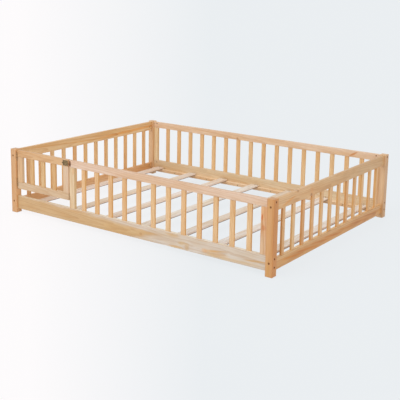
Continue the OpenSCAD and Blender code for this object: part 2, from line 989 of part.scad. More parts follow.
post_front_left();
post_front_right();
post_back_left();
post_back_right();
front_top_rail();
front_bottom_board();
front_gate_stile();
front_end_stile();
front_slats();
back_top_rail();
back_bottom_board();
back_stile_left();
back_stile_right();
back_slats();
left_top_rail();
left_bottom_board();
left_slats();
right_top_rail();
right_bottom_board();
right_slats();
front_cleat();
back_cleat();
cleat_screws();
bed_slat_screws();
side_bolts();
end_bolts();
side_barrel_nuts();
end_barrel_nuts();
corner_dowels();
stile_dowels();
gate_top_rail();
gate_bottom_rail();
gate_hinge_stile();
gate_latch_stile();
gate_slats();
gate_dowels();
upper_hinge_post_leaf();
lower_hinge_post_leaf();
upper_hinge_gate_leaf();
lower_hinge_gate_leaf();
upper_hinge_pin();
lower_hinge_pin();
post_leaf_screws();
gate_leaf_screws();
latch_body();
latch_bolt();
latch_knob();
latch_screws();
latch_keeper();
keeper_screws();
for (i = [1:deck_n])
    bed_slat(i);
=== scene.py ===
import math
import bpy
from mathutils import Matrix, Vector


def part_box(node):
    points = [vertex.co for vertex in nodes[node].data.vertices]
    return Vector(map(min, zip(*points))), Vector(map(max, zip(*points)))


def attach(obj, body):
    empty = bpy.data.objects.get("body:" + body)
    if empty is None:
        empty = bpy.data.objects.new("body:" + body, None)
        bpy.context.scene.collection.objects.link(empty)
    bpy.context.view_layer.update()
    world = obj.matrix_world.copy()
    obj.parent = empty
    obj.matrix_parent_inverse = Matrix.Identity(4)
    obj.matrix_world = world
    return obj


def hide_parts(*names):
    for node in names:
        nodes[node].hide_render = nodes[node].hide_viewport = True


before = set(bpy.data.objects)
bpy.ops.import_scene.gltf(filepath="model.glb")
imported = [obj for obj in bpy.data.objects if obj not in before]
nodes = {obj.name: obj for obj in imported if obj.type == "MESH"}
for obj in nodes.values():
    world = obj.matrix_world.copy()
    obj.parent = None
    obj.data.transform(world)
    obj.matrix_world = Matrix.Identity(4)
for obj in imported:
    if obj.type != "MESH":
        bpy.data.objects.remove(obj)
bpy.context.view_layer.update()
print("loaded", len(nodes), "pieces of the bed")

scene = bpy.context.scene
scene.view_settings.view_transform = "Standard"


# Small helpers for node trees: a value goes on a socket, a socket gets a link.
def put(tree, kind, inputs=None, **settings):
    node = tree.nodes.new(kind)
    for key, value in settings.items():
        setattr(node, key, value)
    for key, value in (inputs or {}).items():
        socket = node.inputs[key]
        if isinstance(value, bpy.types.NodeSocket):
            tree.links.new(value, socket)
        else:
            socket.default_value = value
    return node


def calc(tree, operation, *values):
    return put(tree, "ShaderNodeMath", dict(enumerate(values)), operation=operation).outputs[0]


def calcVector(tree, operation, *values):
    inputs = dict(enumerate(values))
    if operation == "SCALE":
        inputs["Scale"] = inputs.pop(1)
    node = put(tree, "ShaderNodeVectorMath", inputs, operation=operation)
    return node.outputs["Value" if operation in ("LENGTH", "DOT_PRODUCT") else "Vector"]


def splitAxes(tree, vector):
    return put(tree, "ShaderNodeSeparateXYZ", {0: vector}).outputs


def joinAxes(tree, x, y, z):
    return put(tree, "ShaderNodeCombineXYZ", {"X": x, "Y": y, "Z": z}).outputs[0]


def ramp(tree, value, low, high, toLow=0.0, toHigh=1.0, smooth=True):
    node = put(tree, "ShaderNodeMapRange",
               {"Value": value, "From Min": low, "From Max": high, "To Min": toLow, "To Max": toHigh},
               interpolation_type="SMOOTHSTEP" if smooth else "LINEAR")
    return node.outputs["Result"]


def mixColour(tree, factor, first, second, blend="MIX"):
    node = put(tree, "ShaderNodeMix", {0: factor, 6: first, 7: second},
               data_type="RGBA", blend_type=blend)
    return node.outputs[2]


def tinted(tree, colour, tint):      # tint: factors for red, green and blue
    return mixColour(tree, 1.0, colour, (*tint, 1.0), "MULTIPLY")


def noise(tree, vector, scale, detail=2.0, roughness=0.5, output="Fac"):
    node = put(tree, "ShaderNodeTexNoise",
               {"Vector": vector, "Scale": scale, "Detail": detail, "Roughness": roughness})
    return node.outputs[output]


def drawnNoise(tree, vector, stretch, detail=2.0, roughness=0.5, output="Fac"):      # longer one way
    return noise(tree, calcVector(tree, "MULTIPLY", vector, stretch), 1.0, detail, roughness, output)


def newGroup(name, inputs, outputs):
    tree = bpy.data.node_groups.new(name, "ShaderNodeTree")
    for label, kind, value in inputs:
        socket = tree.interface.new_socket(label, in_out="INPUT", socket_type="NodeSocket" + kind)
        socket.default_value = value
    for label, kind in outputs:
        tree.interface.new_socket(label, in_out="OUTPUT", socket_type="NodeSocket" + kind)
    return tree, tree.nodes.new("NodeGroupInput").outputs, tree.nodes.new("NodeGroupOutput").inputs


def useGroup(tree, name, inputs):
    return put(tree, "ShaderNodeGroup", inputs, node_tree=bpy.data.node_groups[name]).outputs


def newMaterial(name):
    material = bpy.data.materials.new(name)
    material.use_nodes = True
    material.node_tree.nodes.clear()
    return material, material.node_tree


def paint(code):      # "d9a677" as a linear colour
    parts = [int(code[i:i + 2], 16) / 255 for i in (0, 2, 4)]
    return tuple(p / 12.92 if p < 0.04045 else ((p + 0.055) / 1.055) ** 2.4 for p in parts) + (1.0,)


def dress(name, material):
    skin = nodes[name].data.materials
    skin.clear()
    skin.append(material)


# Camera
cameraLook = {
    "place": (3.0658, -4.2976, 1.5428),
    "yaw": 35.537,
    "pitch": 11.134,
    "roll": 1.017,
    "lens": 73.751,
    "sensor": 36,
    "shift": (0.0, -0.15),
    "clip": (0.05, 500),
}


def makeCamera(look):
    data = bpy.data.cameras.new("studioCamera")
    data.lens = look["lens"]
    data.sensor_width = look["sensor"]
    data.shift_x, data.shift_y = look["shift"]
    data.clip_start, data.clip_end = look["clip"]
    camera = bpy.data.objects.new("studioCamera", data)
    scene.collection.objects.link(camera)
    turn = (Matrix.Rotation(math.radians(look["yaw"]), 4, "Z")
            @ Matrix.Rotation(math.radians(90 - look["pitch"]), 4, "X")
            @ Matrix.Rotation(math.radians(look["roll"]), 4, "Z"))
    camera.matrix_world = Matrix.Translation(look["place"]) @ turn
    scene.camera = camera


makeCamera(cameraLook)
print("camera placed")


# Studio: a pale floor, a soft sky and two wide soft lamps
studio = {
    "fan": (3.0658, -4.2976, 0.0),       # the backdrop's two tones fan out from here
    "fanAhead": (-0.663, 0.749),         # along the border of the tones, with the white one to its left
    "fanWidth": 0.113,
    "fanFade": (-0.1, 0.8),              # from one even tone behind to two clear tones ahead
    "white": "fefcfd",
    "cool": "ebeff2",
    "floorShare": 0.1,                   # how much of the floor's tone takes light and shadow
    "floorHalf": 300,
    "floorTone": 0.93,                   # evens out the light that falls on the open floor
    "skyTop": 0.88,
    "skyLow": 0.47,
    "lamps": {
        "wideLamp": {"power": 1.0, "angle": 50, "from": (-0.35, -0.8, 0.75), "tint": (1.0, 1.0, 1.0)},
        "sideLamp": {"power": 0.5, "angle": 60, "from": (0.9, -0.1, 0.35), "tint": (1.0, 0.78, 0.56)},
    },
}


def backdropTone(tree, offset, look):
    x, y = look["fanAhead"]
    direction = calcVector(tree, "NORMALIZE", offset)
    side = calcVector(tree, "DOT_PRODUCT", direction, (-y, x, 0.0))
    ahead = calcVector(tree, "DOT_PRODUCT", direction, (x, y, 0.0))
    swing = ramp(tree, side, -look["fanWidth"], look["fanWidth"], smooth=False)
    faded = calc(tree, "MULTIPLY", calc(tree, "SUBTRACT", swing, 0.5), ramp(tree, ahead, *look["fanFade"]))
    return mixColour(tree, calc(tree, "ADD", faded, 0.5), paint(look["cool"]), paint(look["white"]))


def seenDirectly(tree):      # camera, mirror and glass rays see the backdrop's own tone
    path = put(tree, "ShaderNodeLightPath").outputs
    return calc(tree, "MAXIMUM", path["Is Camera Ray"],
                calc(tree, "MAXIMUM", path["Is Glossy Ray"], path["Is Transmission Ray"]))


def makeFloor(look):
    material, tree = newMaterial("studioFloorPaint")
    place = put(tree, "ShaderNodeTexCoord").outputs["Object"]
    tone = backdropTone(tree, calcVector(tree, "SUBTRACT", place, look["fan"]), look)
    even = tinted(tree, tone, (look["floorTone"],) * 3)
    lit = put(tree, "ShaderNodeBsdfDiffuse", {"Color": even}).outputs[0]
    plain = put(tree, "ShaderNodeEmission", {"Color": tone, "Strength": 1.0}).outputs[0]
    share = calc(tree, "MULTIPLY", seenDirectly(tree), 1 - look["floorShare"])
    surface = put(tree, "ShaderNodeMixShader", {0: share, 1: lit, 2: plain}).outputs[0]
    put(tree, "ShaderNodeOutputMaterial", {"Surface": surface})
    half = look["floorHalf"]
    mesh = bpy.data.meshes.new("studioFloor")
    mesh.from_pydata([(-half, -half, 0), (half, -half, 0), (half, half, 0), (-half, half, 0)],
                     [], [(0, 1, 2, 3)])
    mesh.materials.append(material)
    floor = bpy.data.objects.new("studioFloor", mesh)
    scene.collection.objects.link(floor)


def makeSky(look):
    world = bpy.data.worlds.new("studioSky")
    world.use_nodes = True
    tree = world.node_tree
    tree.nodes.clear()
    direction = put(tree, "ShaderNodeTexCoord").outputs["Generated"]
    flat = calcVector(tree, "MULTIPLY", direction, (1, 1, 0))
    strength = ramp(tree, splitAxes(tree, direction)["Z"], 0, 1, look["skyLow"], look["skyTop"])
    glow = put(tree, "ShaderNodeBackground", {"Color": (1, 1, 1, 1), "Strength": strength}).outputs[0]
    seen = put(tree, "ShaderNodeBackground",
               {"Color": backdropTone(tree, flat, look), "Strength": 1.0}).outputs[0]
    surface = put(tree, "ShaderNodeMixShader", {0: seenDirectly(tree), 1: glow, 2: seen}).outputs[0]
    put(tree, "ShaderNodeOutputWorld", {"Surface": surface})
    scene.world = world


def makeLamp(name, look):
    data = bpy.data.lights.new(name, "SUN")
    data.energy = look["power"]
    data.angle = math.radians(look["angle"])
    data.color = look["tint"]
    lamp = bpy.data.objects.new(name, data)
    lamp.rotation_euler = Vector(look["from"]).to_track_quat("Z", "Y").to_euler()
    scene.collection.objects.link(lamp)


makeFloor(studio)
makeSky(studio)
for name, look in studio["lamps"].items():
    makeLamp(name, look)
print("studio lit")


# Wood: growth rings round the tree's heart, cut by the board. Board space is x along the
# grain, y across the wide face and z through the thickness, from the board's middle.
def makePineGrain():
    tree, given, made = newGroup("pineGrain", [
        ("Vector", "Vector", (0, 0, 0)),
        ("Seed", "Float", 0.0),
        ("Heart", "Vector", (0, 0.01, 0.06)),     # from the board's middle to the tree's heart
        ("Taper", "Float", 0.02),
        ("Ring", "Float", 0.005),
        ("Wave", "Float", 0.012),
        ("Pale", "Color", paint("e6bf90")),
        ("Warm", "Color", paint("dca46c")),
        ("Late", "Color", paint("b97a42")),
        ("Ring Strength", "Float", 0.5),
        ("Patch Size", "Float", 1.0),
    ], [("Color", "Color"), ("Late", "Float"), ("Fibre", "Float")])
    shift = calcVector(tree, "SCALE", (7.1, 3.7, 5.3), given["Seed"])
    place = calcVector(tree, "ADD", given["Vector"], shift)
    slow = drawnNoise(tree, place, (1.6, 11, 11), output="Color")
    bend = calcVector(tree, "SCALE", calcVector(tree, "SUBTRACT", slow, (0.5, 0.5, 0.5)), given["Wave"])
    lean = calc(tree, "MULTIPLY", splitAxes(tree, given["Vector"])["X"], given["Taper"])
    strayed = calcVector(tree, "ADD", bend, joinAxes(tree, 0.0, 0.0, lean))
    fromHeart = calcVector(tree, "ADD", calcVector(tree, "ADD", given["Vector"], given["Heart"]), strayed)
    radius = calcVector(tree, "LENGTH", calcVector(tree, "MULTIPLY", fromHeart, (0, 1, 1)))
    wobble = drawnNoise(tree, place, (9, 70, 70), 3.0)
    rings = calc(tree, "ADD", calc(tree, "DIVIDE", radius, given["Ring"]),
                 calc(tree, "MULTIPLY", wobble, 0.9))
    inRing = calc(tree, "FRACT", rings)
    late = calc(tree, "MULTIPLY", ramp(tree, inRing, 0.2, 0.9), ramp(tree, inRing, 1.0, 0.93))
    yearNumber = calc(tree, "ADD", calc(tree, "FLOOR", rings), given["Seed"])
    year = put(tree, "ShaderNodeTexWhiteNoise", {"W": yearNumber}, noise_dimensions="1D").outputs["Value"]
    late = calc(tree, "MULTIPLY", late, calc(tree, "ADD", calc(tree, "MULTIPLY", year, 0.75), 0.3))
    fibre = drawnNoise(tree, place, (14, 460, 460), 3.0, 0.6)
    patchPlace = calcVector(tree, "DIVIDE", place, given["Patch Size"])
    patch = drawnNoise(tree, patchPlace, (2.6, 17, 17), 3.0, 0.55)
    base = mixColour(tree, ramp(tree, patch, 0.36, 0.66), given["Pale"], given["Warm"])
    ringed = mixColour(tree, calc(tree, "MULTIPLY", late, given["Ring Strength"]), base, given["Late"])
    streak = ramp(tree, fibre, 0.25, 0.75, 0.9, 1.06, smooth=False)
    tone = joinAxes(tree, streak, streak, streak)
    tree.links.new(mixColour(tree, 1.0, ringed, tone, "MULTIPLY"), made["Color"])
    tree.links.new(late, made["Late"])
    tree.links.new(fibre, made["Fibre"])


# The grain flows round a knot, and the distance is 1 at its rim.
def makeKnotBend():
    tree, given, made = newGroup("knotBend", [
        ("Vector", "Vector", (0, 0, 0)),
        ("Centre", "Vector", (0, 0, 0)),
        ("Size", "Float", 0.01),
        ("Stretch", "Float", 1.3),
    ], [("Vector", "Vector"), ("Distance", "Float")])
    away = calcVector(tree, "SUBTRACT", given["Vector"], given["Centre"])
    rough = drawnNoise(tree, given["Vector"], (90, 90, 90), output="Color")
    ragged = calcVector(tree, "SCALE", calcVector(tree, "SUBTRACT", rough, (0.5, 0.5, 0.5)),
                        calc(tree, "MULTIPLY", given["Size"], 0.5))
    axes = splitAxes(tree, calcVector(tree, "ADD", away, ragged))
    flat = joinAxes(tree, calc(tree, "DIVIDE", axes["X"], given["Stretch"]), axes["Y"], 0.0)
    distance = calc(tree, "DIVIDE", calcVector(tree, "LENGTH", flat), given["Size"])
    squared = calc(tree, "MULTIPLY", distance, distance)
    pull = calc(tree, "EXPONENT", calc(tree, "MULTIPLY", squared, -0.16))
    squeeze = calc(tree, "MULTIPLY", calc(tree, "MULTIPLY", axes["Y"], pull), -0.8)
    moved = calcVector(tree, "ADD", given["Vector"], joinAxes(tree, 0.0, squeeze, 0.0))
    tree.links.new(moved, made["Vector"])
    tree.links.new(distance, made["Distance"])


# A knot on the wood's colour: a warm halo, the core, and a dark rim with a few rings inside.
def makeKnotPaint():
    tree, given, made = newGroup("knotPaint", [
        ("Color", "Color", paint("e6bf90")),
        ("Distance", "Float", 9.0),
        ("Core", "Color", paint("a96d3c")),
        ("Rim", "Color", paint("6e4324")),
        ("Halo", "Color", paint("cf8f52")),
        ("Strength", "Float", 1.0),
    ], [("Color", "Color")])
    distance = given["Distance"]
    squared = calc(tree, "MULTIPLY", distance, distance)
    halo = calc(tree, "EXPONENT", calc(tree, "MULTIPLY", squared, -0.22))
    core = ramp(tree, distance, 1.05, 0.8)
    inner = ramp(tree, calc(tree, "SINE", calc(tree, "MULTIPLY", distance, 17.0)), 0.3, 1.0, 0.0, 0.35)
    rim = calc(tree, "MULTIPLY", ramp(tree, distance, 0.62, 0.95), ramp(tree, distance, 1.25, 0.98))
    dark = calc(tree, "MAXIMUM", rim, calc(tree, "MULTIPLY", core, inner))
    colour = given["Color"]
    for mask, share, label in ((halo, 0.55, "Halo"), (core, 0.85, "Core"), (dark, 0.7, "Rim")):
        factor = calc(tree, "MULTIPLY", calc(tree, "MULTIPLY", mask, share), given["Strength"])
        colour = mixColour(tree, factor, colour, given[label])
    tree.links.new(colour, made["Color"])


# Where the pale sapwood begins: a mask outside a wavy tongue of heartwood along the board.
def makeSapBand():
    tree, given, made = newGroup("sapBand", [
        ("Vector", "Vector", (0, 0, 0)),
        ("Centre", "Float", 0.0),        # height of the tongue's middle; far off the board for one edge
        ("Tilt", "Float", 0.0),          # how the tongue's middle climbs along the board
        ("Half", "Float", 0.02),         # half the tongue's width at the board's middle
        ("Slope", "Float", 0.0),         # how that half widens along the board
        ("Wave", "Float", 0.01),
        ("Soft", "Float", 0.006),
    ], [("Sap", "Float")])
    axes = splitAxes(tree, given["Vector"])
    slow = drawnNoise(tree, given["Vector"], (5, 18, 18), 4.0, 0.6)
    wave = calc(tree, "MULTIPLY", calc(tree, "SUBTRACT", slow, 0.5), given["Wave"])
    half = calc(tree, "ADD", calc(tree, "MULTIPLY", axes["X"], given["Slope"]), given["Half"])
    half = calc(tree, "ADD", half, wave)
    middle = calc(tree, "ADD", calc(tree, "MULTIPLY", axes["X"], given["Tilt"]), given["Centre"])
    away = calc(tree, "ABSOLUTE", calc(tree, "SUBTRACT", axes["Y"], middle))
    beyond = calc(tree, "DIVIDE", calc(tree, "SUBTRACT", away, half), given["Soft"])
    tree.links.new(ramp(tree, beyond, -1.0, 1.0), made["Sap"])


# A soft ragged streak, longer along the grain: resin or heartwood, and one painted highlight along the
# front bottom board's top edge.
def makeWoodStreak():
    tree, given, made = newGroup("woodStreak", [
        ("Color", "Color", paint("e6bf90")),
        ("Vector", "Vector", (0, 0, 0)),
        ("Centre", "Vector", (0, 0, 0)),
        ("Long", "Float", 0.05),
        ("Wide", "Float", 0.008),
        ("Lean", "Float", 0.0),
        ("Tint", "Color", (0.9, 0.75, 0.6, 1.0)),
    ], [("Color", "Color")])
    rough = drawnNoise(tree, given["Vector"], (12, 75, 75), 4.0, 0.6)
    away = splitAxes(tree, calcVector(tree, "SUBTRACT", given["Vector"], given["Centre"]))
    along = calc(tree, "DIVIDE", away["X"], given["Long"])
    side = calc(tree, "SUBTRACT", away["Y"], calc(tree, "MULTIPLY", away["X"], given["Lean"]))
    side = calc(tree, "DIVIDE", side, given["Wide"])
    reach = calc(tree, "ADD", calc(tree, "MULTIPLY", along, along), calc(tree, "MULTIPLY", side, side))
    reach = calc(tree, "ADD", reach, calc(tree, "MULTIPLY", calc(tree, "SUBTRACT", rough, 0.5), 1.6))
    streaked = mixColour(tree, 1.0, given["Color"], given["Tint"], "MULTIPLY")
    tree.links.new(mixColour(tree, ramp(tree, reach, 1.3, 0.1), given["Color"], streaked), made["Color"])


# Edges that a hand has rubbed: a mask for their tone, and the softened normal.
def makeEdgeWear():
    tree, given, made = newGroup("edgeWear", [
        ("Radius", "Float", 0.003),
        ("Break Up", "Float", 60.0),
        ("Vector", "Vector", (0, 0, 0)),
    ], [("Edge", "Float"), ("Normal", "Vector")])
    soft = put(tree, "ShaderNodeBevel", {"Radius": given["Radius"]}, samples=4).outputs[0]
    hard = put(tree, "ShaderNodeNewGeometry").outputs["Normal"]
    turn = calc(tree, "SUBTRACT", 1.0, calcVector(tree, "DOT_PRODUCT", soft, hard))
    uneven = noise(tree, given["Vector"], given["Break Up"])
    edge = calc(tree, "MULTIPLY", ramp(tree, turn, 0.02, 0.2), ramp(tree, uneven, 0.3, 0.65, 0.35, 1.0))
    tree.links.new(edge, made["Edge"])
    tree.links.new(soft, made["Normal"])


# Metal of a fitting that has aged: cloudy patina, fine scratches, brighter where it rubs.
def makeAgedMetal():
    tree, given, made = newGroup("agedMetal", [
        ("Vector", "Vector", (0, 0, 0)),
        ("Base", "Color", paint("4b3a28")),
        ("Patina", "Color", paint("2d231a")),
        ("Rubbed", "Color", paint("9a7446")),
        ("Edge", "Float", 0.0),
        ("Roughness", "Float", 0.42),
    ], [("Color", "Color"), ("Roughness", "Float"), ("Height", "Float")])
    cloud = noise(tree, given["Vector"], 140.0, 4.0, 0.6)
    scratch = drawnNoise(tree, given["Vector"], (300, 2600, 900))
    base = mixColour(tree, ramp(tree, cloud, 0.4, 0.62), given["Base"], given["Patina"])
    rubbed = calc(tree, "MAXIMUM", given["Edge"], ramp(tree, scratch, 0.68, 0.8, 0.0, 0.5))
    rough = calc(tree, "ADD", given["Roughness"], ramp(tree, cloud, 0.3, 0.7, -0.06, 0.12))
    rough = calc(tree, "SUBTRACT", rough, calc(tree, "MULTIPLY", rubbed, 0.12))
    height = calc(tree, "ADD", calc(tree, "MULTIPLY", cloud, 0.6), calc(tree, "MULTIPLY", scratch, 0.4))
    tree.links.new(mixColour(tree, rubbed, base, given["Rubbed"]), made["Color"])
    tree.links.new(rough, made["Roughness"])
    tree.links.new(height, made["Height"])


makePineGrain()
makeKnotBend()
makeKnotPaint()
makeSapBand()
makeWoodStreak()
makeEdgeWear()
makeAgedMetal()
print("wood and metal effects ready")


# Finishes of the wood: varnished pine, whose top faces get painted shade, and raw planed pine
varnish = {"roughness": 0.42, "bump": 0.25, "top": (0.9, 0.88, 0.84)}
planed = {"roughness": 0.68, "bump": 0.5, "top": (1.0, 1.0, 1.0)}
timber = {      # what a board has unless its own entry says otherwise
    "finish": varnish,
    "warm": (0.92, 0.83, 0.70),          # its warm patches, as factors on its pale tone
    "late": (0.74, 0.55, 0.38),          # its late rings, in the same way
    "heart": (0.0, 0.012, 0.05),         # from its middle to the tree's heart
    "taper": 0.02,                       # how the heart leans away along it
    "ring": 0.005,                       # a year's growth
    "wave": 0.012,                       # how far its grain strays
    "rings": 0.55,                       # how strongly the late rings show
    "patch": 1.0,                        # size of its warm patches
    "knots": [],                         # place along and across, size, strength
    "streaks": [],                       # place along and across, half length, half width, lean, tint
}
woodSkin = {
    "fibreRoughness": 0.16,
    "lateDip": 0.5,                      # late rings lie lower than the fibre
    "depth": 0.0004,
    "wornRadius": 0.0025,
    "wornShare": 0.25,
    "wornTone": "f2dcc0",
    "wornRoughness": 0.08,
}
seedStep = 1.37      # from one board's piece of timber to the next one's


def boardSpace(name):      # turn and move that bring a board's grain to x and its wide face to y
    low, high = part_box(name)
    size = high - low
    order = sorted(range(3), key=lambda axis: -round(size[axis], 4))
    rows = [Vector([1.0 if axis == place else 0.0 for axis in range(3)]) for place in order]
    turn = Matrix(rows)
    if turn.determinant() < 0:
        turn = Matrix([rows[0], rows[1], -rows[2]])
    return turn.to_euler("XYZ"), -(turn @ ((low + high) / 2)), rows[1]


def bendRoundKnots(tree, vector, look):
    knots = []
    for x, y, size, strength in look["knots"]:
        bent = useGroup(tree, "knotBend", {"Vector": vector, "Centre": (x, y, 0.0), "Size": size})
        vector = bent["Vector"]
        knots.append((bent["Distance"], strength))
    return vector, knots


def addSapwood(tree, vector, pale, sap):
    beyond = useGroup(tree, "sapBand", {
        "Vector": vector, "Centre": sap["centre"], "Tilt": sap["tilt"], "Half": sap["half"],
        "Slope": sap["slope"], "Wave": sap["wave"], "Soft": sap["soft"]})["Sap"]
    return mixColour(tree, beyond, pale, paint(sap["tone"]))


def addStreaks(tree, vector, colour, look):
    for x, y, long, wide, lean, tint in look["streaks"]:
        colour = useGroup(tree, "woodStreak", {
            "Color": colour, "Vector": vector, "Centre": (x, y, 0.0), "Long": long, "Wide": wide,
            "Lean": lean, "Tint": (*tint, 1.0)})["Color"]
    return colour


def paintShadingOnThinSides(tree, colour, across, bottom, look):      # painted light and shade on the faces that look across the board, a tint set for each board
    facing = calcVector(tree, "DOT_PRODUCT", put(tree, "ShaderNodeTexCoord").outputs["Normal"], across)
    shadedSide = tinted(tree, colour, look["paintedSideShading"])
    if "edge" in look:      # painted shade on the thin sides, darkest along the lower edge
        edge = look["edge"]
        height = splitAxes(tree, put(tree, "ShaderNodeTexCoord").outputs["Object"])["Z"]
        underShade = ramp(tree, height, bottom + edge["high"], bottom + edge["low"])
        shadedSide = mixColour(tree, underShade, shadedSide, tinted(tree, shadedSide, edge["tint"]))
    sides = ramp(tree, calc(tree, "ABSOLUTE", facing), 0.55, 0.9)
    return mixColour(tree, sides, colour, shadedSide)


# painted light and shade on the faces that look up, as a factor on the colour
def paintShadingOnTopFaces(tree, colour, tint):
    upward = splitAxes(tree, put(tree, "ShaderNodeTexCoord").outputs["Normal"])["Z"]
    return mixColour(tree, ramp(tree, upward, 0.6, 0.95), colour, tinted(tree, colour, tint))


def coatWood(tree, vector, colour, grain, finish):      # rubbed edges, sheen, and fibre that can be felt
    wear = useGroup(tree, "edgeWear", {"Vector": vector, "Radius": woodSkin["wornRadius"]})
    worn = calc(tree, "MULTIPLY", wear["Edge"], woodSkin["wornShare"])
    colour = mixColour(tree, worn, colour, paint(woodSkin["wornTone"]))
    spread = woodSkin["fibreRoughness"]
    uneven = calc(tree, "MULTIPLY", grain["Fibre"], spread)
    rough = calc(tree, "ADD", uneven, finish["roughness"] - spread / 2)
    rough = calc(tree, "ADD", rough, calc(tree, "MULTIPLY", wear["Edge"], woodSkin["wornRoughness"]))
    dip = calc(tree, "MULTIPLY", grain["Late"], woodSkin["lateDip"])
    height = calc(tree, "SUBTRACT", grain["Fibre"], dip)
    bump = put(tree, "ShaderNodeBump", {"Strength": finish["bump"], "Distance": woodSkin["depth"],
                                        "Height": height, "Normal": wear["Normal"]}).outputs[0]
    shader = put(tree, "ShaderNodeBsdfPrincipled",
                 {"Base Color": colour, "Roughness": rough, "Normal": bump}).outputs[0]
    put(tree, "ShaderNodeOutputMaterial", {"Surface": shader})


def finishWood(tree, vector, across, seed, look, pale, bottom=0.0):
    look = {**timber, **look}
    vector, knots = bendRoundKnots(tree, vector, look)
    if "sap" in look:
        pale = addSapwood(tree, vector, pale, look["sap"])
    grain = useGroup(tree, "pineGrain", {
        "Vector": vector, "Seed": seed, "Heart": look["heart"], "Taper": look["taper"],
        "Ring": look["ring"], "Wave": look["wave"], "Patch Size": look["patch"],
        "Pale": pale, "Warm": tinted(tree, pale, look["warm"]),
        "Late": tinted(tree, pale, look["late"]), "Ring Strength": look["rings"]})
    colour = addStreaks(tree, vector, grain["Color"], look)
    for distance, strength in knots:
        colour = useGroup(tree, "knotPaint",
                          {"Color": colour, "Distance": distance, "Strength": strength})["Color"]
    if "paintedSideShading" in look:
        colour = paintShadingOnThinSides(tree, colour, across, bottom, look)
    finish = look["finish"]
    colour = paintShadingOnTopFaces(tree, colour, look.get("top", finish["top"]))
    coatWood(tree, vector, colour, grain, finish)


def dressBoard(name, seed, look):
    material, tree = newMaterial(name + "Wood")
    turn, move, across = boardSpace(name)
    vector = put(tree, "ShaderNodeMapping", {"Vector": put(tree, "ShaderNodeTexCoord").outputs["Object"],
                                             "Rotation": turn, "Location": move}).outputs[0]
    finishWood(tree, vector, across, seed, look, paint(look["tone"]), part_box(name)[0].z)
    dress(name, material)


# Each board's pale tone and its own marks. The factors on its colour for its thin sides and its top faces
# paint light and shade there; a streak's tint is a factor on its colour for the streak.
posts = {
    "post_front_left": {"tone": "dbae7e", "heart": (0, 0.05, 0.06), "paintedSideShading": (1.22, 1.25, 1.28),
                        "streaks": [(0.0, -0.012, 0.14, 0.004, 0.01, (0.93, 0.86, 0.74))]},
    "post_front_right": {"tone": "dca871", "heart": (0, 0.04, 0.05), "paintedSideShading": (1.04, 0.99, 0.87),
                         "streaks": [(0.0, 0.024, 0.5, 0.005, 0.0, (0.93, 0.84, 0.72)),
                                     (0.05, 0.013, 0.16, 0.004, 0.0, (0.98, 0.93, 0.84)),
                                     (-0.03, -0.014, 0.18, 0.005, 0.01, (1.03, 1.07, 1.1)),
                                     (0.18, -0.006, 0.05, 0.003, 0.0, (0.99, 1.04, 0.85)),
                                     (-0.17, -0.004, 0.05, 0.006, 0.0, (1.0, 1.02, 0.78))]},
    "post_back_left": {"tone": "e6bf93", "heart": (0, 0.06, 0.04), "paintedSideShading": (1.12, 1.17, 1.2)},
    "post_back_right": {"tone": "e8c59d", "heart": (0, 0.05, 0.05), "paintedSideShading": (0.84, 0.8, 0.77),
                        "streaks": [(0.02, -0.017, 0.16, 0.006, 0.0, (0.84, 0.76, 0.68)),
                                    (0.0, 0.008, 0.14, 0.01, 0.0, (1.04, 1.06, 1.06))]},
}
sideRails = {
    "front_top_rail": {"tone": "e8ccb5", "heart": (0, 0.03, 0.07), "top": (0.87, 0.82, 0.75)},
    "back_top_rail": {"tone": "eed1b4", "heart": (0, 0.02, 0.07), "top": (0.86, 0.82, 0.76),
                      "knots": [(-0.168, -0.012, 0.006, 0.5)],
                      "streaks": [(0.765, 0.0, 0.036, 0.009, 0.55, (0.85, 0.56, 0.35)),
                                  (-0.5, 0.006, 0.2, 0.006, 0.02, (0.97, 0.9, 0.8))]},
}
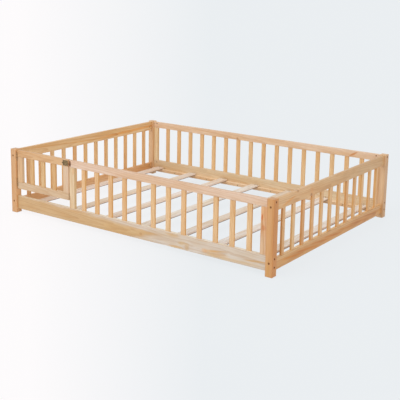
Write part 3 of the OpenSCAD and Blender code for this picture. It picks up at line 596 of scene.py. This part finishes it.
boards = {
    "front_bottom_board": {"tone": "d5b384", "heart": (0, 0.005, 0.045), "ring": 0.006,
                           "taper": 0.018, "wave": 0.03, "top": (0.95, 0.93, 0.86),
                           "sap": {"tone": "dfd2c4", "centre": -0.0125, "tilt": 0.11, "half": 0.0325,
                                   "slope": -0.14, "wave": 0.03, "soft": 0.012},
                           "knots": [(0.098, -0.011, 0.007, 0.3), (0.43, -0.022, 0.009, 0.08)],
                           "streaks": [(-0.43, 0.033, 0.13, 0.01, 0.0, (1.0, 0.9, 0.74)),
                                       (-0.6, -0.033, 0.32, 0.01, 0.0, (1.0, 1.04, 1.1)),
                                       (-0.06, -0.012, 0.24, 0.03, 0.0, (1.06, 1.11, 1.15)),
                                       (0.08, 0.012, 0.13, 0.006, -0.03, (0.98, 0.88, 0.74)),
                                       (-0.28, 0.038, 0.34, 0.009, 0.0, (0.97, 0.92, 0.84)),
                                       (0.33, 0.03, 0.055, 0.012, 0.0, (0.98, 0.84, 0.62)),
                                       (0.36, -0.034, 0.06, 0.008, 0.05, (1.0, 0.8, 0.52)),
                                       (0.4, -0.007, 0.03, 0.012, 0.0, (0.98, 0.87, 0.66)),
                                       (0.436, -0.02, 0.018, 0.018, 0.0, (0.97, 0.86, 0.68)),
                                       (0.545, 0.037, 0.05, 0.005, 0.0, (0.99, 0.9, 0.74)),
                                       (0.63, -0.018, 0.1, 0.018, 0.0, (1.0, 0.84, 0.63)),
                                       (0.558, -0.015, 0.024, 0.014, 0.0, (1.04, 0.85, 0.66)),
                                       (0.64, -0.003, 0.08, 0.006, 0.15, (1.0, 0.84, 0.6)),
                                       (0.74, -0.031, 0.22, 0.01, 0.02, (0.99, 0.88, 0.7)),
                                       (0.9, -0.004, 0.08, 0.006, 0.09, (1.0, 0.8, 0.52)),
                                       # a painted highlight, long and pale along the top edge
                                       (0.1, 0.0455, 3.0, 0.003, 0.0, (1.2, 1.32, 1.42))]},
    "back_bottom_board": {"tone": "e7d2b1", "heart": (0, 0.01, 0.05)},
    "left_bottom_board": {"tone": "efc18f", "heart": (0, 0.02, 0.05),
                          "streaks": [(0.56, 0.0, 0.12, 0.02, 0.0, (1.0, 0.9, 0.78))]},
    "right_bottom_board": {"tone": "dcaa6f", "heart": (0, 0.01, 0.05), "rings": 0.9,
                           "top": (1.08, 1.12, 1.12),
                           "sap": {"tone": "dfb682", "centre": -1.0, "tilt": 0.0, "half": 1.015,
                                   "slope": -0.006, "wave": 0.024, "soft": 0.004},
                           "streaks": [(0.0, -0.004, 0.9, 0.013, 0.0, (0.97, 0.92, 0.78)),
                                       (-0.5, -0.004, 0.15, 0.007, -0.09, (1.0, 0.76, 0.28)),
                                       (-0.33, -0.006, 0.15, 0.007, -0.1, (0.99, 0.72, 0.24)),
                                       (-0.16, -0.004, 0.14, 0.006, -0.1, (0.98, 0.72, 0.24)),
                                       (0.0, -0.006, 0.14, 0.007, -0.1, (0.97, 0.72, 0.26)),
                                       (0.17, -0.002, 0.14, 0.006, -0.09, (0.95, 0.74, 0.32)),
                                       (0.34, -0.004, 0.14, 0.007, -0.08, (0.93, 0.75, 0.38)),
                                       (0.54, 0.004, 0.14, 0.007, -0.05, (0.91, 0.78, 0.5)),
                                       (-0.6, 0.0, 0.1, 0.03, 0.0, (1.05, 1.1, 1.16)),
                                       (-0.36, -0.026, 0.1, 0.007, 0.0, (1.05, 1.16, 1.3)),
                                       (0.16, -0.028, 0.4, 0.005, 0.0, (1.02, 1.12, 1.2))]},
}
endRails = {
    "left_top_rail": {"tone": "f1cf9f", "heart": (0, 0.01, 0.03), "rings": 0.8,
                      "streaks": [(0.44, -0.004, 0.4, 0.012, 0.014, (0.96, 0.7, 0.4)),
                                  (0.02, -0.012, 0.26, 0.005, -0.03, (0.95, 0.8, 0.6)),
                                  (-0.32, 0.006, 0.35, 0.005, -0.05, (0.95, 0.83, 0.66)),
                                  (0.1, 0.014, 0.5, 0.004, 0.0, (0.97, 0.9, 0.76))]},
    "right_top_rail": {"tone": "dfba8b", "heart": (0, 0.02, 0.06),
                       "knots": [(-0.31, -0.024, 0.007, 0.7), (-0.468, 0.028, 0.005, 0.7)],
                       "streaks": [(-0.565, -0.008, 0.075, 0.008, 0.22, (1.02, 0.82, 0.54)),
                                   (-0.305, 0.0, 0.02, 0.03, 0.0, (1.02, 0.92, 0.82)),
                                   (0.5, 0.0, 0.5, 0.06, 0.0, (0.9, 0.88, 0.85)),
                                   (-0.5, 0.0, 0.35, 0.06, 0.0, (1.06, 1.05, 1.06))]},
}
stiles = {
    "front_gate_stile": {"tone": "e8d1af", "paintedSideShading": (1.0, 0.95, 0.78),
                         "streaks": [(0.11, 0.012, 0.03, 0.009, 0.0, (0.98, 0.86, 0.72))]},
    "front_end_stile": {"tone": "e5b78b", "rings": 0.8,
                        "streaks": [(0.072, -0.012, 0.02, 0.006, 0.0, (0.98, 0.62, 0.42)),
                                    (0.015, -0.002, 0.018, 0.014, 0.0, (0.94, 0.74, 0.62)),
                                    (0.1, 0.0, 0.05, 0.02, 0.0, (1.0, 0.94, 0.84)),
                                    (-0.1, -0.002, 0.09, 0.026, 0.0, (1.04, 1.2, 1.42))]},
    "back_stile_left": {"tone": "fae4ba", "paintedSideShading": (0.84, 0.66, 0.44),
                        "streaks": [(0.0, 0.008, 0.3, 0.003, 0.0, (1.05, 1.08, 1.08))]},
    "back_stile_right": {"tone": "e5b37a"},
}
gateBars = {
    "gate_top_rail": {"tone": "ddb485"},
    "gate_bottom_rail": {"tone": "dabf9e", "top": (1.05, 1.05, 1.0)},
    "gate_hinge_stile": {"tone": "e6c8a4", "paintedSideShading": (1.06, 1.12, 1.2)},
    "gate_latch_stile": {"tone": "e4cbb1", "paintedSideShading": (1.25, 1.22, 1.15)},
}
cleats = {
    "front_cleat": {"tone": "dcbd8e"},
    "back_cleat": {"tone": "e6c39c", "top": (1.22, 1.46, 1.8)},
}
rawSlat = {
    "finish": planed,
    # painted light on the slats' thin sides
    "paintedSideShading": (1.16, 1.12, 1.14),
    "edge": {"low": 0.0028, "high": 0.0054, "tint": (0.26, 0.21, 0.18)},      # painted shade along the slat's lower edge, from its bottom up
}
slatTones = ["ede0d6", "eae2da", "ede4de", "ebe6df", "e7dfd6", "eee9e4", "eae4dd"]
bedSlats = {f"bed_slat_{number}": {"tone": tone, **rawSlat} for number, tone in enumerate(slatTones, 1)}
dowels = {name: {"tone": "d9b48c", "finish": planed}
          for name in ("corner_dowels", "stile_dowels", "gate_dowels")}

bedWood = {**posts, **sideRails, **boards, **endRails, **stiles, **gateBars, **cleats,
           **bedSlats, **dowels}
for number, (name, look) in enumerate(bedWood.items(), 1):
    dressBoard(name, number * seedStep, look)
print(len(bedWood), "pieces of wood dressed")


# Fence slats, one row for each panel, each slat with its own piece of timber
slatRow = {
    "width": 0.030,
    "thickness": 0.012,
    "round": 0.0015,
    "roundSteps": 4,
    "pitch": 0.110,
    "slot": "pine_slats",
    "seedSpread": 53.0,      # how far apart the pieces of timber of one row lie
    "wood": {"heart": (0, 0.02, 0.05), "taper": 0.05, "patch": 0.7},
    "rows": {     # the piece of the bed that a row stands for: its body, tones, painted light and shade on its thin sides, seed and turn
        "front_slats": {"body": "frame", "tone": "edcb9e", "deep": "e8bf8e", "paintedSideShading": (1.06, 0.95, 0.66),
                        "seed": 3, "turn": 0.0},
        "back_slats": {"body": "frame", "tone": "f1cf9f", "deep": "edc38d", "paintedSideShading": (1.0, 0.93, 0.72),
                       "seed": 5, "turn": 0.0},
        "left_slats": {"body": "frame", "tone": "f6d4a2", "deep": "efc38e", "paintedSideShading": (0.9, 0.76, 0.54),
                       "seed": 7, "turn": math.pi / 2},
        "right_slats": {"body": "frame", "tone": "ebc594", "deep": "e4b27c", "paintedSideShading": (0.95, 0.85, 0.65),
                        "seed": 9, "turn": math.pi / 2},
        "gate_slats": {"body": "gate", "tone": "e5c99b", "deep": "daad75", "paintedSideShading": (1.1, 1.03, 0.78),
                       "seed": 11, "turn": 0.0, "count": 3},
    },
}


def makeSlatTree(look):
    tree = bpy.data.node_groups.new("slatRow", "GeometryNodeTree")
    for label, kind in (("Geometry", "Geometry"), ("Count", "Int"), ("First", "Vector"),
                        ("Step", "Vector"), ("Width", "Float"), ("Thickness", "Float"),
                        ("Height", "Float"), ("Round", "Float"), ("Turn", "Float"), ("Seed", "Int"),
                        ("Material", "Material")):
        tree.interface.new_socket(label, in_out="INPUT", socket_type="NodeSocket" + kind)
    tree.interface.new_socket("Geometry", in_out="OUTPUT", socket_type="NodeSocketGeometry")
    given = tree.nodes.new("NodeGroupInput").outputs
    section = put(tree, "GeometryNodeCurvePrimitiveQuadrilateral",
                  {"Width": given["Width"], "Height": given["Thickness"]}).outputs[0]
    eased = put(tree, "GeometryNodeFilletCurve",
                {"Curve": section, "Radius": given["Round"], "Count": look["roundSteps"]},
                mode="POLY").outputs[0]
    spine = put(tree, "GeometryNodeCurvePrimitiveLine",
                {"Start": (0, 0, 0), "End": joinAxes(tree, 0.0, 0.0, given["Height"])}).outputs[0]
    slat = put(tree, "GeometryNodeCurveToMesh",
               {"Curve": spine, "Profile Curve": eased, "Fill Caps": True}).outputs[0]
    axes = splitAxes(tree, tree.nodes.new("GeometryNodeInputPosition").outputs[0])
    boardPlace = joinAxes(tree, axes["Z"], axes["X"], axes["Y"])      # its grain runs up the slat
    slat = put(tree, "GeometryNodeStoreNamedAttribute",
               {"Geometry": slat, "Name": "slatPlace", "Value": boardPlace},
               data_type="FLOAT_VECTOR", domain="POINT").outputs[0]
    places = put(tree, "GeometryNodeMeshLine",
                 {"Count": given["Count"], "Start Location": given["First"],
                  "Offset": given["Step"]}).outputs[0]
    row = put(tree, "GeometryNodeInstanceOnPoints",
              {"Points": places, "Instance": slat,
               "Rotation": joinAxes(tree, 0.0, 0.0, given["Turn"])}).outputs[0]
    chance = put(tree, "FunctionNodeRandomValue", {"Seed": given["Seed"]}, data_type="FLOAT").outputs[1]
    row = put(tree, "GeometryNodeStoreNamedAttribute",
              {"Geometry": row, "Name": "slatTone", "Value": chance},
              data_type="FLOAT", domain="INSTANCE").outputs[0]
    row = put(tree, "GeometryNodeRealizeInstances", {"Geometry": row}).outputs[0]
    row = put(tree, "GeometryNodeSetMaterial",
              {"Geometry": row, "Material": given["Material"]}).outputs[0]
    put(tree, "NodeGroupOutput", {0: row})
    return tree


def growPiece(name, tree, values, body, stands):
    piece = bpy.data.objects.new(name, bpy.data.meshes.new(name))
    scene.collection.objects.link(piece)
    modifier = piece.modifiers.new("grow", "NODES")
    modifier.node_group = tree
    sockets = {item.name: item.identifier for item in tree.interface.items_tree
               if item.item_type == "SOCKET" and item.in_out == "INPUT"}
    for label, value in values.items():
        modifier[sockets[label]] = value
    bpy.context.view_layer.update()
    depsgraph = bpy.context.evaluated_depsgraph_get()
    mesh = bpy.data.meshes.new_from_object(piece.evaluated_get(depsgraph), preserve_all_data_layers=True,
                                           depsgraph=depsgraph)
    mesh.name = name
    piece.modifiers.clear()
    piece.data = mesh
    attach(piece, body)
    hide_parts(stands)
    return piece


def makeSlatWood(name, look, row):
    material, tree = newMaterial(name + "Wood")
    place = put(tree, "ShaderNodeAttribute", attribute_name="slatPlace").outputs["Vector"]
    chance = put(tree, "ShaderNodeAttribute", attribute_name="slatTone").outputs["Fac"]
    pale = mixColour(tree, chance, paint(row["tone"]), paint(row["deep"]))
    across = (math.cos(row["turn"]), math.sin(row["turn"]), 0.0)
    seed = calc(tree, "MULTIPLY", chance, look["seedSpread"])
    finishWood(tree, place, across, seed, {**look["wood"], "paintedSideShading": row["paintedSideShading"]}, pale)
    return material


def makeSlatRows(look):
    tree = makeSlatTree(look)
    for stands, row in look["rows"].items():
        low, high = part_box(stands)
        middle = (low + high) / 2
        direction = Vector((0, 1, 0)) if row["turn"] else Vector((1, 0, 0))
        run = (high - low).dot(direction) - look["width"]
        count = row.get("count", round(run / look["pitch"]) + 1)
        first = Vector((middle.x, middle.y, low.z)) - direction * run / 2
        values = {"Count": count, "First": first, "Step": direction * run / (count - 1),
                  "Width": look["width"], "Thickness": look["thickness"], "Height": high.z - low.z,
                  "Round": look["round"], "Turn": row["turn"], "Seed": row["seed"],
                  "Material": makeSlatWood(stands, look, row)}
        name = stands.replace("_slats", "Slats")
        piece = growPiece(name, tree, values, row["body"], stands)
        print(name, count, "slats,", len(piece.data.polygons), "faces")


makeSlatRows(slatRow)
print("fence slats stand")


# Hardware: each finish with the pieces that have it
metals = {
    "hinge": {"base": "cca57a", "patina": "a58156", "rubbed": "dfc093",
              "roughness": 0.5, "metallic": 0.35,
              "pieces": ["upper_hinge_post_leaf", "lower_hinge_post_leaf", "upper_hinge_gate_leaf",
                         "lower_hinge_gate_leaf", "upper_hinge_pin", "lower_hinge_pin"]},
    "latch": {"base": "9d865e", "patina": "66563f", "rubbed": "d5bb8c",
              "roughness": 0.42, "metallic": 0.6, "pieces": ["latch_body", "latch_bolt", "latch_knob"]},
    "keeper": {"base": "9a673f", "patina": "6b452b", "rubbed": "c99a68",
               "roughness": 0.45, "metallic": 0.5, "pieces": ["latch_keeper"]},
    "sideBolt": {"base": "95501a", "patina": "6a3810", "rubbed": "a06a34",
                 "roughness": 0.6, "metallic": 0.1, "specular": 0.2, "pieces": ["side_bolts"]},
    "endBolt": {"base": "a87040", "patina": "7c4d29", "rubbed": "bd8a5a",
                "roughness": 0.6, "metallic": 0.1, "specular": 0.2, "pieces": ["end_bolts"]},
    "nut": {"base": "b58c66", "patina": "8d6848", "rubbed": "cba882",
            "roughness": 0.5, "metallic": 0.3, "pieces": ["side_barrel_nuts", "end_barrel_nuts"]},
    "screw": {"base": "8b7761", "patina": "5f5041", "rubbed": "c4ae90",
              "roughness": 0.4, "metallic": 0.6,
              "pieces": ["cleat_screws", "bed_slat_screws", "post_leaf_screws", "gate_leaf_screws",
                         "latch_screws", "keeper_screws"]},
}
metalSkin = {"bump": 0.2, "depth": 0.0001, "specular": 0.5, "wornRadius": 0.0006, "breakUp": 400.0}


def makeMetal(name, look):
    material, tree = newMaterial(name + "Metal")
    place = put(tree, "ShaderNodeTexCoord").outputs["Object"]
    wear = useGroup(tree, "edgeWear", {"Vector": place, "Radius": metalSkin["wornRadius"],
                                       "Break Up": metalSkin["breakUp"]})
    metal = useGroup(tree, "agedMetal", {
        "Vector": place, "Base": paint(look["base"]), "Patina": paint(look["patina"]),
        "Rubbed": paint(look["rubbed"]), "Edge": wear["Edge"], "Roughness": look["roughness"]})
    bump = put(tree, "ShaderNodeBump", {"Strength": metalSkin["bump"], "Distance": metalSkin["depth"],
                                        "Height": metal["Height"], "Normal": wear["Normal"]}).outputs[0]
    shader = put(tree, "ShaderNodeBsdfPrincipled",
                 {"Base Color": metal["Color"], "Roughness": metal["Roughness"],
                  "Metallic": look["metallic"], "Normal": bump,
                  "Specular IOR Level": look.get("specular", metalSkin["specular"])}).outputs[0]
    put(tree, "ShaderNodeOutputMaterial", {"Surface": shader})
    return material


for kind, look in metals.items():
    metal = makeMetal(kind, look)
    for name in look["pieces"]:
        dress(name, metal)
print("hardware finished")
